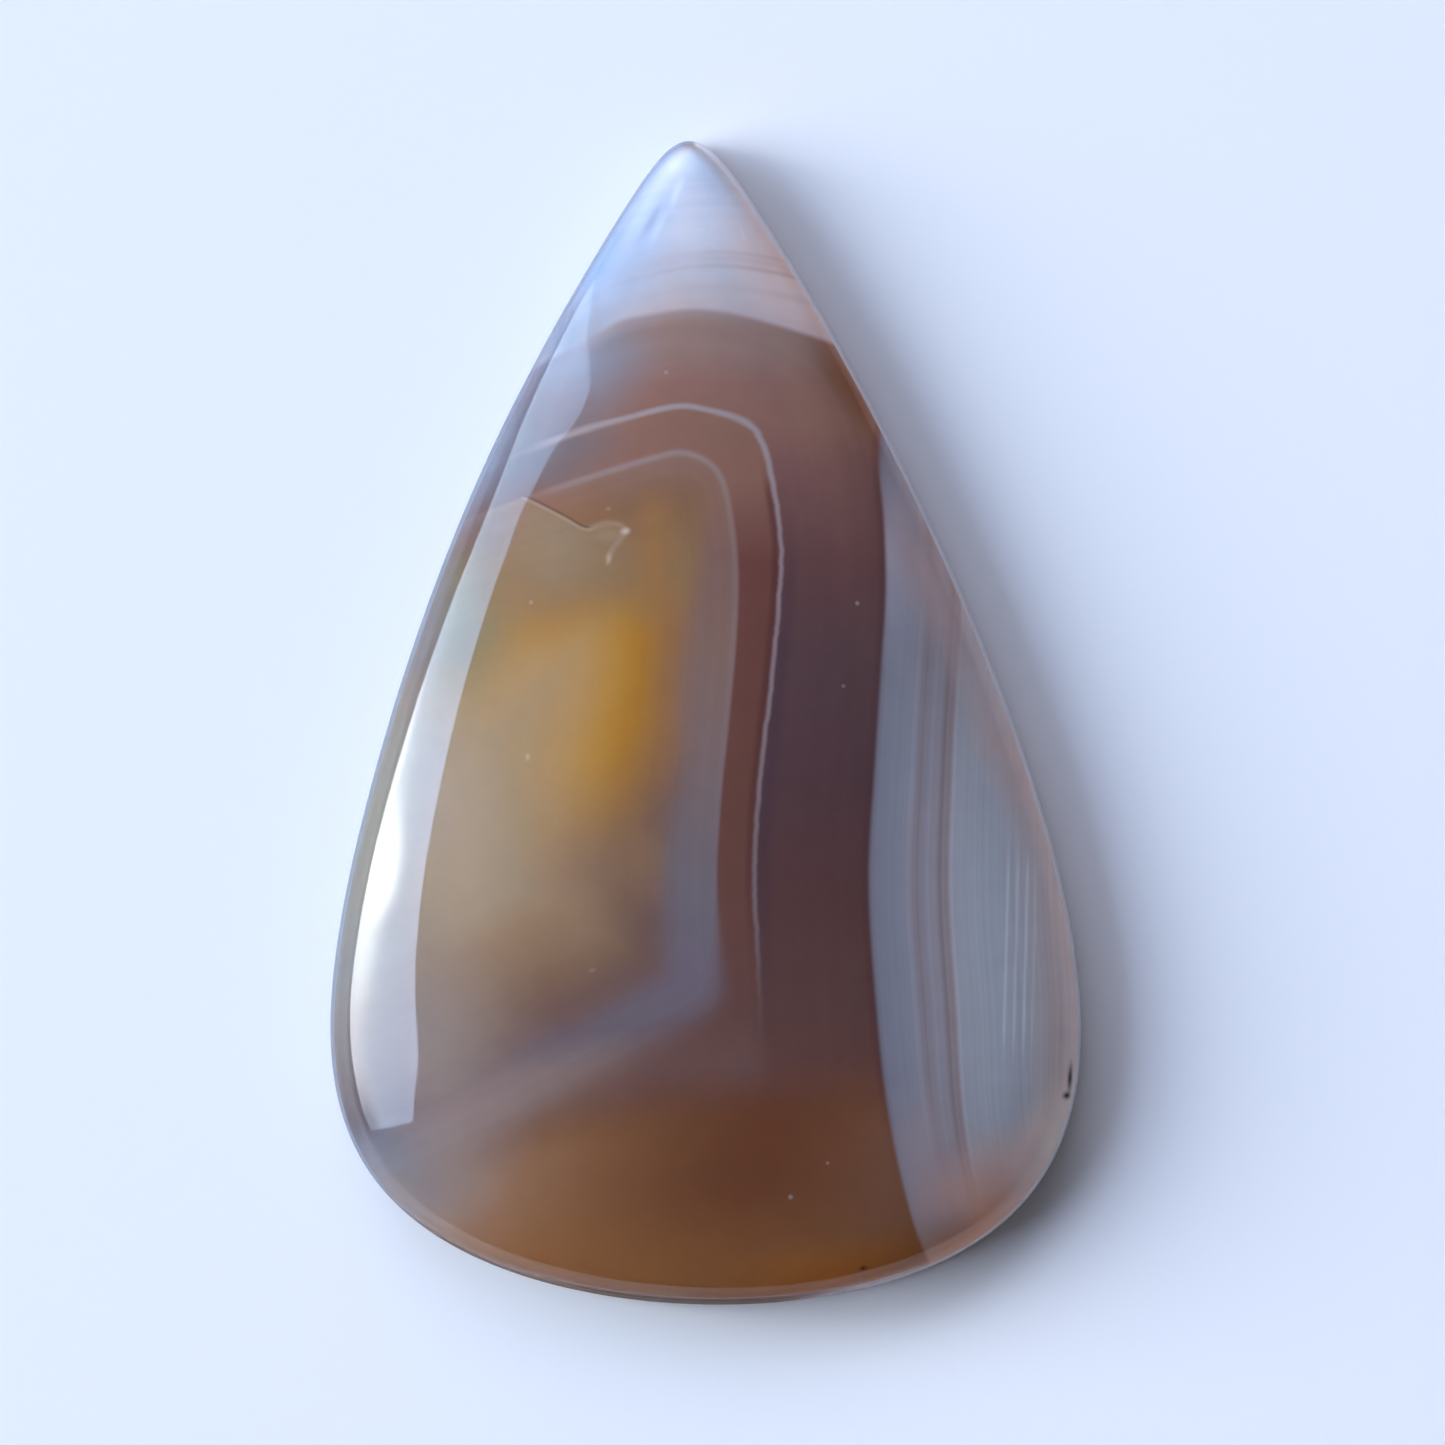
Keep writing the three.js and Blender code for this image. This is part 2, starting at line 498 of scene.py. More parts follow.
OUTER_COLOURS = (
    (-14.3, (0.13, 0.047, 0.022)), (-12.4, (0.135, 0.056, 0.042)), (-9.6, (0.115, 0.053, 0.043)),
    (-6.2, (0.105, 0.046, 0.04)), (-2.0, (0.096, 0.046, 0.046)), (2.4, (0.11, 0.056, 0.055)),
    (5.5, (0.145, 0.064, 0.057)), (8.6, (0.215, 0.10, 0.083)), (10.3, (0.275, 0.14, 0.10)),
    (11.6, (0.275, 0.143, 0.108)), (13.0, (0.295, 0.185, 0.15)),
)
OUTER_POOLS = {
    "grey top left": ((-3.5, 12.6), (3.3, 2.7), 25, (0.235, 0.225, 0.25), 1.0),
    "orange top right": ((5.75, 11.3), (1.0, 3.8), 29, (0.215, 0.095, 0.05), 1.0),
}
# A navy shade runs along the outside of the outer line.
NAVY = (-0.28, 0.5, 0.35, (0.06, 0.032, 0.045))
NAVY_BOTTOM_FADE = (-12.0, -5.0)
NAVY_TOP_FADE = (9.0, 4.0)
# The bottom of the stone, from its left side to the curtain, is a brown lobe whose left end droops.
LOBE_FADE = (-11.3, -14.2)
LOBE_OVER_LINES_FADE = (-13.6, -10.9)
LOBE_DROOP_FROM_X = 1.0
LOBE_DROOP = 0.022
BOTTOM_SLOPE = (0.3, -15.5)
BOTTOM_COLOURS = (
    (-11.0, (0.20, 0.175, 0.18)), (-9.0, (0.25, 0.18, 0.145)), (-7.5, (0.26, 0.148, 0.09)),
    (-6.0, (0.25, 0.122, 0.058)), (-3.5, (0.20, 0.084, 0.033)), (-0.5, (0.152, 0.054, 0.021)),
    (2.0, (0.14, 0.044, 0.017)), (4.5, (0.185, 0.069, 0.03)), (6.2, (0.205, 0.088, 0.05)),
)
BUTT_COLOUR = (0.26, 0.105, 0.032)
BUTT_FADE = (-15.5, -19.6, 0.0, 0.8)
BOTTOM_POOLS = {
    "bright rim": ((4.8, -19.2), (6.0, 1.9), 9, (0.33, 0.105, 0.016), 1.0),
}
UPPER_LEFT_GREYS = {
    "between the lines": ((-4.9, 10.2), (3.6, 2.6), 10, (0.18, 0.16, 0.165), 0.8),
    "at the edge": ((-6.9, 9.6), (1.0, 4.4), -28, (0.26, 0.225, 0.215), 0.85),
}
LOWER_LEFT_POOLS = {
    "haze": ((-11.2, -14.8), (6.4, 3.6), 22, (0.265, 0.20, 0.165), 1.0),
}
BETWEEN_COLOURS = (
    (-13.0, (0.14, 0.063, 0.045)), (-11.7, (0.155, 0.079, 0.064)), (-10.0, (0.135, 0.06, 0.047)),
    (-2.7, (0.143, 0.058, 0.04)), (5.5, (0.16, 0.058, 0.045)), (8.5, (0.26, 0.125, 0.085)),
    (11.0, (0.26, 0.135, 0.095)),
)
BETWEEN_POOLS = {
    "paler lower left": ((-6.6, -14.0), (6.0, 2.6), 28, (0.225, 0.14, 0.105), 1.0),
    "cool left": ((-5.5, 9.0), (4.0, 2.0), 20, (0.18, 0.12, 0.105), 1.0),
}
# A dark stroke runs along the inside of the outer line.
BETWEEN_DARK = (0.2, 0.22, 0.6, (0.085, 0.03, 0.024))
BETWEEN_DARK_BOTTOM_FADE = (-11.0, -3.0)
BETWEEN_DARK_TOP_FADE = (9.2, 7.5)
# The heart has three stretches. Up along the top one the stops are (y, colour), and in the other two
# they are (distance inside the inner line, colour).
HEART_TOP_COLOURS = (
    (3.5, (0.30, 0.17, 0.07)), (5.5, (0.262, 0.149, 0.068)), (7.2, (0.248, 0.128, 0.063)),
    (8.8, (0.235, 0.128, 0.082)),
)
HEART_TOP_SLOPE = (0.2, -3.0)
HEART_TOP_FADE = (2.5, 5.1)
HEART_MIDDLE_COLOURS = (
    (0.9, (0.235, 0.137, 0.10)), (1.9, (0.275, 0.134, 0.06)), (2.6, (0.32, 0.15, 0.043)),
    (3.3, (0.36, 0.162, 0.018)), (4.2, (0.42, 0.21, 0.035)), (5.2, (0.415, 0.238, 0.085)),
    (6.8, (0.345, 0.23, 0.12)), (8.6, (0.33, 0.235, 0.14)),
)
HEART_LOWER_COLOURS = (
    (0.8, (0.15, 0.113, 0.13)), (1.3, (0.15, 0.095, 0.09)), (2.3, (0.16, 0.088, 0.068)),
    (3.2, (0.195, 0.107, 0.065)), (4.3, (0.247, 0.147, 0.084)), (5.7, (0.30, 0.182, 0.10)),
    (7.0, (0.308, 0.23, 0.147)),
)
HEART_LOWER_SLOPE = (0.35, -3.5)
HEART_LOWER_FADE = (-0.3, -5.3)
HEART_WAVE_SCALE = 0.3
HEART_WAVE_FADE = (0.2, 0.8, -0.2, 0.2)
HEART_POOLS = {
    "olive at the left": ((-8.0, 3.2), (2.9, 3.6), -14, (0.245, 0.185, 0.10), 0.95),
    "amber foot": ((-1.9, -4.6), (1.7, 2.4), 0, (0.30, 0.17, 0.075), 0.4),
    "haze at the left": ((-8.6, -3.0), (2.8, 6.0), 5, (0.35, 0.255, 0.17), 0.9),
    "grey below": ((-9.8, -10.6), (5.0, 6.0), 15, (0.25, 0.193, 0.16), 0.9),
    "mauve left edge": ((-9.3, 3.0), (1.0, 6.5), -16, (0.25, 0.17, 0.135), 0.8),
    "amber arm": ((-1.35, 5.6), (1.1, 3.6), -3, (0.31, 0.155, 0.055), 0.9),
}
# The veil hangs below the crack.
VEIL_COLOUR = (0.285, 0.195, 0.115)
VEIL_SPOT = ((-4.7, 6.6), (3.2, 3.4), -10, 0.9, 4.0)
VEIL_FADE = (0.03, -0.05)
CRACK_STROKES = {
    "shade": (0.03, 0.08, 0.47, (0.08, 0.045, 0.03)),
    "gleam": (-0.07, 0.10, 0.35, (0.42, 0.32, 0.24)),
}
CRACK_SPOT = ((-4.75, 7.4), (2.3, 1.3), -25, 1.0, 1.0)
HOOK_STROKE = (0.0, 0.18, 0.45, (0.38, 0.28, 0.19))
HOOK_SPOT = ((-2.85, 6.4), (1.1, 1.3), 0, 1.0, 1.0)
FINE_SPOT_FADE = (0.1, 0.4)
HOOK_MARKS = {
    "bright end": ((-2.28, 6.66), (0.24, 0.20), 0, (0.52, 0.43, 0.33), 0.95),
    "inside": ((-2.75, 6.6), (0.7, 0.42), -10, (0.32, 0.22, 0.14), 0.6),
    "lower end": ((-2.88, 5.8), (0.15, 0.34), -8, (0.43, 0.33, 0.23), 0.8),
}
# The margin is the flat band just inside the inner line. It gets narrower toward the top.
MARGIN_WIDTHS_FADE = (4.5, 8.5, 1.45, 0.75)
MARGIN_EDGE_FADE = (0.6, -0.5)
MARGIN_COLOURS = (
    (-15.0, (0.245, 0.185, 0.165)), (-13.0, (0.24, 0.17, 0.145)), (-11.9, (0.22, 0.15, 0.128)),
    (-10.4, (0.15, 0.112, 0.118)), (-8.5, (0.16, 0.124, 0.14)), (-5.4, (0.16, 0.13, 0.13)),
    (-0.9, (0.21, 0.136, 0.117)), (2.5, (0.23, 0.135, 0.10)), (5.6, (0.22, 0.12, 0.093)),
    (7.7, (0.25, 0.13, 0.085)), (9.0, (0.25, 0.14, 0.10)),
)
LINE_COLOURS = (
    (-10.0, (0.17, 0.115, 0.11)), (-4.0, (0.20, 0.14, 0.14)), (1.0, (0.25, 0.18, 0.175)),
    (6.0, (0.29, 0.20, 0.19)), (9.5, (0.34, 0.27, 0.255)),
)
LINES_BOTTOM_FADE = (-11.5, -6.0)
LINES_LEFT_FADE = (-5.6, -4.0, 0.15, 1.0)
# The outer line wavers a little, and both are stronger at the top.
OUTER_LINE_WAVER_SCALE = 1.3
OUTER_LINE_WAVER = 0.12
OUTER_LINE_WIDTHS_FADE = (6.5, 10.0, 0.14, 0.2)
INNER_LINE_PLACE = (0.1, 0.2)
INNER_LINE_STRENGTHS_FADE = (5.0, 9.0, 0.30, 0.48)
# How soft the edges along the lines are: crisp at the top and blurred at the bottom.
OUTER_SOFTNESS_FADE = (-8.0, -10.8, 0.07, 0.6)
INNER_SOFTNESS_FADE = (-5.0, -11.0, 0.07, 0.8)
# Along the curtain the stops are (distance across, colour).
CURTAIN_COLOURS = (
    (0.0, (0.165, 0.145, 0.162)), (0.25, (0.205, 0.19, 0.21)), (0.5, (0.215, 0.203, 0.228)),
    (1.15, (0.232, 0.217, 0.24)), (1.3, (0.268, 0.245, 0.262)), (1.42, (0.24, 0.21, 0.225)),
    (1.6, (0.228, 0.18, 0.185)), (1.78, (0.25, 0.22, 0.235)), (2.1, (0.27, 0.24, 0.26)),
    (2.26, (0.245, 0.205, 0.215)), (2.36, (0.228, 0.175, 0.178)), (2.47, (0.262, 0.215, 0.22)),
    (2.6, (0.265, 0.205, 0.20)), (2.72, (0.345, 0.32, 0.335)), (2.84, (0.31, 0.30, 0.32)),
    (3.4, (0.335, 0.33, 0.35)), (4.2, (0.345, 0.35, 0.375)), (5.2, (0.38, 0.36, 0.37)),
    (6.0, (0.43, 0.37, 0.36)), (7.0, (0.48, 0.40, 0.385)),
)
# Its bands are a little wider below the middle, and narrower again at the bottom.
CURTAIN_WIDER_FADE = (0.0, -5.0, 1.0, 1.04)
CURTAIN_NARROWER_FADE = (-9.0, -16.0, 1.0, 0.9)
CURTAIN_EDGE_FADE = (-0.08, 0.12)
# A dark border runs down its edge.
CURTAIN_BORDER = (-0.12, 0.22, 0.25, (0.075, 0.025, 0.03))
CURTAIN_BORDER_FADE = (-17.0, -12.0)
CURTAIN_POOLS = {
    "pale top": ((6.9, 5.6), (1.4, 4.6), 0, (0.33, 0.30, 0.335), 0.9),
    "pink top": ((8.1, 4.4), (1.3, 5.6), 24, (0.40, 0.30, 0.295), 0.9),
    "warm right edge": ((10.7, -1.5), (1.4, 5.5), 22, (0.44, 0.34, 0.32), 0.8),
    "pink below": ((7.6, -16.0), (1.8, 4.4), 10, (0.33, 0.245, 0.245), 0.9),
    "pink bottom": ((9.9, -17.0), (4.6, 3.2), 42, (0.60, 0.345, 0.26), 1.0),
    "grey corner": ((7.9, -18.2), (1.9, 1.9), 0, (0.31, 0.21, 0.19), 0.9),
    "pale low right": ((11.7, -14.8), (1.7, 3.6), -28, (0.62, 0.50, 0.46), 1.0),
    "orange corner": ((8.7, -19.0), (4.4, 2.0), 27, (0.62, 0.26, 0.11), 1.0),
}
# Four white lines stand in one stretch of it, at these distances right of the first.
WHITE = (0.60, 0.62, 0.66)
WHITE_LINES = {
    "first": (0.0, 0.10, 0.45, WHITE),
    "second": (0.34, 0.10, 0.40, WHITE),
    "third": (0.68, 0.10, 0.50, WHITE),
    "fourth": (0.98, 0.10, 0.25, WHITE),
}
FIRST_WHITE_LINE_X = 10.59
WHITE_LINES_SLOPE = (0.054, -4.63)
WHITE_LINES_SPOT = ((10.8, -8.2), (2.0, 4.9), 0, 1.0, 3.0)
WHITE_LINES_FADE = (0.0, 0.45)

# Tints from the left side (-1) to the right side (1) of the outline: painted shade, cool and grey, along
# the left side, which faces the window, and painted light along the right side, where light comes
# through. They fade out toward the bottom.
SIDE_LIGHT_AND_SHADE_TINTS = (
    (-1.0, (0.56, 0.72, 0.98)), (-0.9, (0.64, 0.80, 0.98)), (-0.78, (0.92, 0.95, 0.99)),
    (-0.7, (1.0, 1.0, 1.0)), (0.5, (1.0, 1.0, 1.0)), (0.62, (1.1, 1.1, 1.06)),
    (0.85, (1.12, 1.1, 1.04)), (1.0, (1.4, 1.34, 1.28)),
)
SIDE_LIGHT_AND_SHADE_FADE = (-17.3, -13.8, 0.15, 1.0)
# Painted shade along the face's rim: deepest and warmest round the two ends, lighter along the left side
# and almost none along the right.
RIM_SHADE_TINTS = (
    (-1.0, (0.85, 0.85, 0.85)), (-0.3, (0.75, 0.62, 0.55)), (0.4, (0.75, 0.6, 0.5)),
    (1.0, (1.05, 0.95, 0.9)),
)
RIM_FADE = (0.5, 0.05)
# The ground edge shows the bands faintly under a colour of its own: painted shade, cool and dark, on its
# left side, which faces the window, pale painted light on its right side, where light comes through, and
# dark brown along the bottom.
GROUND_SHADE_AND_LIGHT_COLOURS = (
    (-1.0, (0.12, 0.14, 0.18)), (-0.4, (0.12, 0.12, 0.14)), (0.5, (0.3, 0.26, 0.27)),
    (1.0, (0.9, 0.8, 0.8)),
)
GROUND_BOTTOM_COLOUR = (0.09, 0.05, 0.035)
GROUND_STRENGTH = 0.75
GROUND_FADE = (0.02, 0.12)
BOTTOM_Y_FADE = (-15.5, -17.5)
BOTTOM_X_FADE = (6.5, 2.0)

# Small marks on the face.
MARKS = {
    "dark dot": ((12.4, -13.2), (0.24, 0.22), 0, (0.006, 0.005, 0.005), 1.0),
    "dark stroke": ((12.53, -12.6), (0.14, 0.85), -5, (0.006, 0.005, 0.005), 1.0),
    "dark speck at the bottom": ((5.2, -18.9), (0.22, 0.13), 10, (0.02, 0.01, 0.01), 0.9),
    "speck 1": ((5.61, 3.97), (0.12, 0.12), 0, (0.40, 0.36, 0.36), 0.8),
    "speck 2": ((5.05, 1.14), (0.10, 0.10), 0, (0.34, 0.28, 0.28), 0.7),
    "speck 3": ((4.06, -15.19), (0.10, 0.10), 0, (0.36, 0.28, 0.22), 0.8),
    "speck 4": ((2.76, -16.32), (0.13, 0.13), 0, (0.42, 0.33, 0.27), 0.8),
    "speck 5": ((-5.60, 4.31), (0.10, 0.13), 0, (0.46, 0.38, 0.28), 0.8),
    "speck 6": ((-5.85, -1.00), (0.13, 0.20), 0, (0.56, 0.44, 0.33), 0.7),
    "speck 7": ((-3.82, -8.36), (0.22, 0.10), 20, (0.34, 0.26, 0.20), 0.5),
    "speck 8": ((-0.75, 12.10), (0.13, 0.11), 20, (0.46, 0.33, 0.28), 0.8),
    "speck 9": ((-2.85, 7.45), (0.16, 0.10), 10, (0.42, 0.28, 0.18), 0.6),
}

# Fine unevenness is a noise's scale and detail, its contrast and its darkest factor. The clouds also make
# every colour brighter, to make up for the light that spreads away below the surface.
CLOUDS = (1.1, 4.0, 0.144, 1.128)
CAP_STRIPES = (4.0, 3.0, 0.08, 0.96)
CURTAIN_STRIPES = (7.0, 3.0, 0.22, 0.95)
# The stripes of the outer band fade out in the lobe, and the heart's toward its middle.
OUTER_STRIPES = (1.6, 3.0)
OUTER_STRIPES_CONTRAST_FADE = (0.0, 0.6, 0.16, 0.0)
OUTER_STRIPES_DARKEST_FADE = (0.0, 0.6, 0.92, 1.0)
HEART_STRIPES = (2.3, 3.0)
HEART_STRIPES_CONTRAST_FADE = (4.0, 0.5, 0.03, 0.20)
HEART_STRIPES_DARKEST_FADE = (4.0, 0.5, 0.985, 0.90)

# The bands waver: how finely, and how far at most.
BANDS_WAVER = (0.35, 0.35)
# How deep the marks go.
SURFACE_MARK_DEPTH = 0.6
CAP_MARK_DEPTH = 1.5
HOOK_MARK_DEPTH = 1.0

# The polished face and the ground edge.
REFRACTIVE_INDEX = 1.54
POLISHED_ROUGHNESS = 0.04
GROUND_ROUGHNESS = 0.5
GRAIN = (6.0, 4.0)
GRAIN_ROUGHNESS = 0.2
SHEEN = 0.5
DULL_SHEEN = 0.15
DULL_RIM_FADE = (0.8, 0.1)
DULL_SIDE_FADE = (-0.6, -0.2)
LIGHT_REACH = 3 * MM
LIGHT_REACH_SHARES = (1.0, 0.85, 0.7)


def heart_colour(paint, place, x, y, inner_line):
    """The amber middle, with the flat margin inside its line."""
    wave = paint.step(paint.noise(place, HEART_WAVE_SCALE, 0.0), *HEART_WAVE_FADE)
    inside = paint.math("ADD", inner_line, wave)
    top = paint.sloped(y, x, *HEART_TOP_SLOPE)
    low = paint.sloped(y, x, *HEART_LOWER_SLOPE)
    colour = paint.ramp(inside, HEART_MIDDLE_COLOURS, "B_SPLINE")
    lower_colour = paint.ramp(inside, HEART_LOWER_COLOURS, "B_SPLINE")
    colour = paint.mix(paint.step(low, *HEART_LOWER_FADE), colour, lower_colour)
    top_colour = paint.ramp(y, HEART_TOP_COLOURS, "LINEAR")
    colour = paint.mix(paint.step(top, *HEART_TOP_FADE), colour, top_colour)
    colour = paint.pools(place, colour, HEART_POOLS)
    past_margin = paint.math("SUBTRACT", inside, paint.step(y, *MARGIN_WIDTHS_FADE))
    margin_colour = paint.ramp(y, MARGIN_COLOURS, "LINEAR")
    return paint.mix(paint.step(past_margin, *MARGIN_EDGE_FADE), colour, margin_colour)


def veiled(paint, place, colour, crack):
    """The fine crack at the top of the heart, the hook at its end and the haze below it."""
    haze = paint.product(paint.step(crack, *VEIL_FADE), paint.spot(place, *VEIL_SPOT))
    colour = paint.wash(haze, colour, VEIL_COLOUR)
    at_crack = paint.within(place, CRACK_SPOT, *FINE_SPOT_FADE)
    for stroke in CRACK_STROKES.values():
        colour = paint.stroked(crack, at_crack, colour, stroke)
    at_hook = paint.within(place, HOOK_SPOT, *FINE_SPOT_FADE)
    colour = paint.stroked(paint.attribute("above_hook"), at_hook, colour, HOOK_STROKE)
    return paint.pools(place, colour, HOOK_MARKS, HOOK_MARK_DEPTH)


def striped_heart_colour(paint, place, x, y, inner_line, crack):
    """The heart with its veil, and with fine stripes along the inner line."""
    colour = veiled(paint, place, heart_colour(paint, place, x, y, inner_line), crack)
    contrast = paint.step(inner_line, *HEART_STRIPES_CONTRAST_FADE)
    darkest = paint.step(inner_line, *HEART_STRIPES_DARKEST_FADE)
    return paint.uneven(colour, inner_line, *HEART_STRIPES, contrast, darkest)


def lobe_colour(paint, place, x, y):
    """The brown lobe at the bottom of the stone."""
    colour = paint.ramp(paint.sloped(x, y, *BOTTOM_SLOPE), BOTTOM_COLOURS, "B_SPLINE")
    colour = paint.wash(paint.step(y, *BUTT_FADE), colour, BUTT_COLOUR)
    return paint.pools(place, colour, BOTTOM_POOLS)


def outer_colour(paint, place, x, y, outer_line, lobe):
    """The dark band outside the lines, and the lobe that it widens to."""
    colour = paint.pools(place, paint.ramp(y, OUTER_COLOURS, "LINEAR"), OUTER_POOLS)
    in_lobe = paint.step(lobe, *LOBE_FADE)
    colour = paint.mix(in_lobe, colour, lobe_colour(paint, place, x, y))
    contrast = paint.step(in_lobe, *OUTER_STRIPES_CONTRAST_FADE)
    darkest = paint.step(in_lobe, *OUTER_STRIPES_DARKEST_FADE)
    colour = paint.uneven(colour, outer_line, *OUTER_STRIPES, contrast, darkest)
    seen = paint.product(paint.step(y, *NAVY_BOTTOM_FADE), paint.step(y, *NAVY_TOP_FADE))
    return paint.stroked(outer_line, seen, colour, NAVY)


def between_colour(paint, place, y, outer_line):
    """The red-brown band between the two lines, darkest along the outer one."""
    colour = paint.pools(place, paint.ramp(y, BETWEEN_COLOURS, "LINEAR"), BETWEEN_POOLS)
    seen = paint.product(paint.step(y, *BETWEEN_DARK_BOTTOM_FADE), paint.step(y, *BETWEEN_DARK_TOP_FADE))
    return paint.stroked(outer_line, seen, colour, BETWEEN_DARK)


def lined(paint, colour, x, y, outer_line, inner_line):
    """The two pale lines over a colour."""
    line_colour = paint.ramp(y, LINE_COLOURS, "LINEAR")
    seen = paint.product(paint.step(y, *LINES_BOTTOM_FADE), paint.step(x, *LINES_LEFT_FADE))
    waver = paint.math("SUBTRACT", paint.noise(y, OUTER_LINE_WAVER_SCALE), NOISE_MIDDLE)
    wavering = paint.math("ADD", outer_line, paint.product(waver, OUTER_LINE_WAVER))
    line = paint.stroke(wavering, 0.0, paint.step(y, *OUTER_LINE_WIDTHS_FADE))
    colour = paint.mix(paint.product(line, seen), colour, line_colour)
    strength = paint.step(y, *INNER_LINE_STRENGTHS_FADE)
    line = paint.product(paint.stroke(inner_line, *INNER_LINE_PLACE), seen, strength)
    return paint.mix(line, colour, line_colour)


def body_colour(paint, place, x, y):
    """Everything but the cap and the curtain."""
    outer_line = paint.attribute("inside_outer_line")
    inner_line = paint.attribute("inside_inner_line")
    leftward = paint.math("MINIMUM", paint.math("SUBTRACT", x, LOBE_DROOP_FROM_X), 0.0)
    lobe = paint.math("ADD", y, paint.product(leftward, leftward, LOBE_DROOP))
    in_outer = paint.border(outer_line, paint.step(y, *OUTER_SOFTNESS_FADE))
    in_outer = paint.product(in_outer, paint.step(lobe, *LOBE_OVER_LINES_FADE))
    between = between_colour(paint, place, y, outer_line)
    colour = paint.mix(in_outer, outer_colour(paint, place, x, y, outer_line, lobe), between)
    colour = paint.pools(place, colour, LOWER_LEFT_POOLS)
    in_inner = paint.border(inner_line, paint.step(y, *INNER_SOFTNESS_FADE))
    heart = striped_heart_colour(paint, place, x, y, inner_line, paint.attribute("above_crack"))
    colour = paint.pools(place, paint.mix(in_inner, colour, heart), UPPER_LEFT_GREYS)
    return lined(paint, colour, x, y, outer_line, inner_line)


def cap_colour(paint, place, x, y, past_edge, across):
    """The pale tip, with its fine brown arcs, painted shade along its left edge and painted light along
    its right.
    """
    colour = paint.pools(place, paint.ramp(y, CAP_COLOURS, "LINEAR"), CAP_POOLS)
    arc = paint.sloped(past_edge, x, CAP_ARCS_SLOPE)
    seen = paint.step(x, *CAP_ARCS_RIGHT_FADE)
    for stroke in CAP_ARCS.values():
        colour = paint.stroked(arc, seen, colour, stroke)
    colour = paint.uneven(colour, arc, *CAP_STRIPES)
    colour = paint.tinted(colour, paint.ramp(across, CAP_SIDE_LIGHT_AND_SHADE_TINTS, "LINEAR"))
    return paint.pools(place, colour, CAP_MARKS, CAP_MARK_DEPTH)


def curtain_colour(paint, place, y, across_curtain, true_x):
    """The blue-grey side, with its fine upright bands."""
    width = paint.product(paint.step(y, *CURTAIN_WIDER_FADE), paint.step(y, *CURTAIN_NARROWER_FADE))
    bands = paint.math("DIVIDE", across_curtain, width)
    colour = paint.ramp(bands, CURTAIN_COLOURS, "LINEAR")
    colour = paint.uneven(colour, bands, *CURTAIN_STRIPES)
    past_first = paint.math("SUBTRACT", true_x, FIRST_WHITE_LINE_X)
    upright = paint.sloped(past_first, y, *WHITE_LINES_SLOPE)
    seen = paint.within(place, WHITE_LINES_SPOT, *WHITE_LINES_FADE)
    for stroke in WHITE_LINES.values():
        colour = paint.stroked(upright, seen, colour, stroke)
    return paint.pools(place, colour, CURTAIN_POOLS)


def agate_colour(paint, place, x, y, true_x, across):
    """The whole stone's bands."""
    colour = body_colour(paint, place, x, y)
    across_curtain = paint.attribute("across_curtain")
    colour = paint.stroked(across_curtain, paint.step(y, *CURTAIN_BORDER_FADE), colour, CURTAIN_BORDER)
    in_curtain = paint.step(across_curtain, *CURTAIN_EDGE_FADE)
    colour = paint.mix(in_curtain, colour, curtain_colour(paint, place, y, across_curtain, true_x))
    # Painted shade along the left side and painted light along the right side.
    side_lit_and_shaded = paint.tinted(colour, paint.ramp(across, SIDE_LIGHT_AND_SHADE_TINTS, "LINEAR"))
    colour = paint.mix(paint.step(y, *SIDE_LIGHT_AND_SHADE_FADE), colour, side_lit_and_shaded)
    past_edge = paint.attribute("past_cap_edge")
    hazy = paint.product(paint.step(x, *CAP_HAZE_RIGHT_FADE), paint.step(x, *CAP_HAZE_LEFT_FADE))
    colour = paint.stroked(past_edge, hazy, colour, CAP_HAZE)
    cap = cap_colour(paint, place, x, y, past_edge, across)
    return paint.mix(paint.step(past_edge, *CAP_EDGE_FADE), colour, cap)


def edge_colour(paint, colour, across, rim, ground, at_bottom):
    """Painted shade along the face's rim, and the ground edge below it with its painted shade and light.
    """
    colour = paint.mix(rim, colour, paint.tinted(colour, paint.ramp(across, RIM_SHADE_TINTS, "LINEAR")))
    # The ground edge's colour carries painted shade on the left side and painted light on the right side.
    ground_shade_and_light = paint.ramp(across, GROUND_SHADE_AND_LIGHT_COLOURS, "LINEAR")
    ground_shade_and_light = paint.wash(at_bottom, ground_shade_and_light, GROUND_BOTTOM_COLOUR)
    return paint.mix(paint.product(ground, GROUND_STRENGTH), colour, ground_shade_and_light)


def finish_surface(paint, shader, true_place, ground, dull):
    """The polish of the face, the grain of the ground edge and the light below the surface."""
    grain = paint.product(paint.noise(true_place, *GRAIN), GRAIN_ROUGHNESS)
    ground_roughness = paint.math("ADD", grain, GROUND_ROUGHNESS)
    paint.feed(shader["Roughness"], paint.mixed(ground, POLISHED_ROUGHNESS, ground_roughness))
    paint.feed(shader["Specular IOR Level"], paint.mixed(dull, SHEEN, DULL_SHEEN))
    paint.feed(shader["IOR"], REFRACTIVE_INDEX)
    paint.feed(shader["Subsurface Weight"], 1.0)
    paint.feed(shader["Subsurface Radius"], LIGHT_REACH_SHARES)
    paint.feed(shader["Subsurface Scale"], LIGHT_REACH)


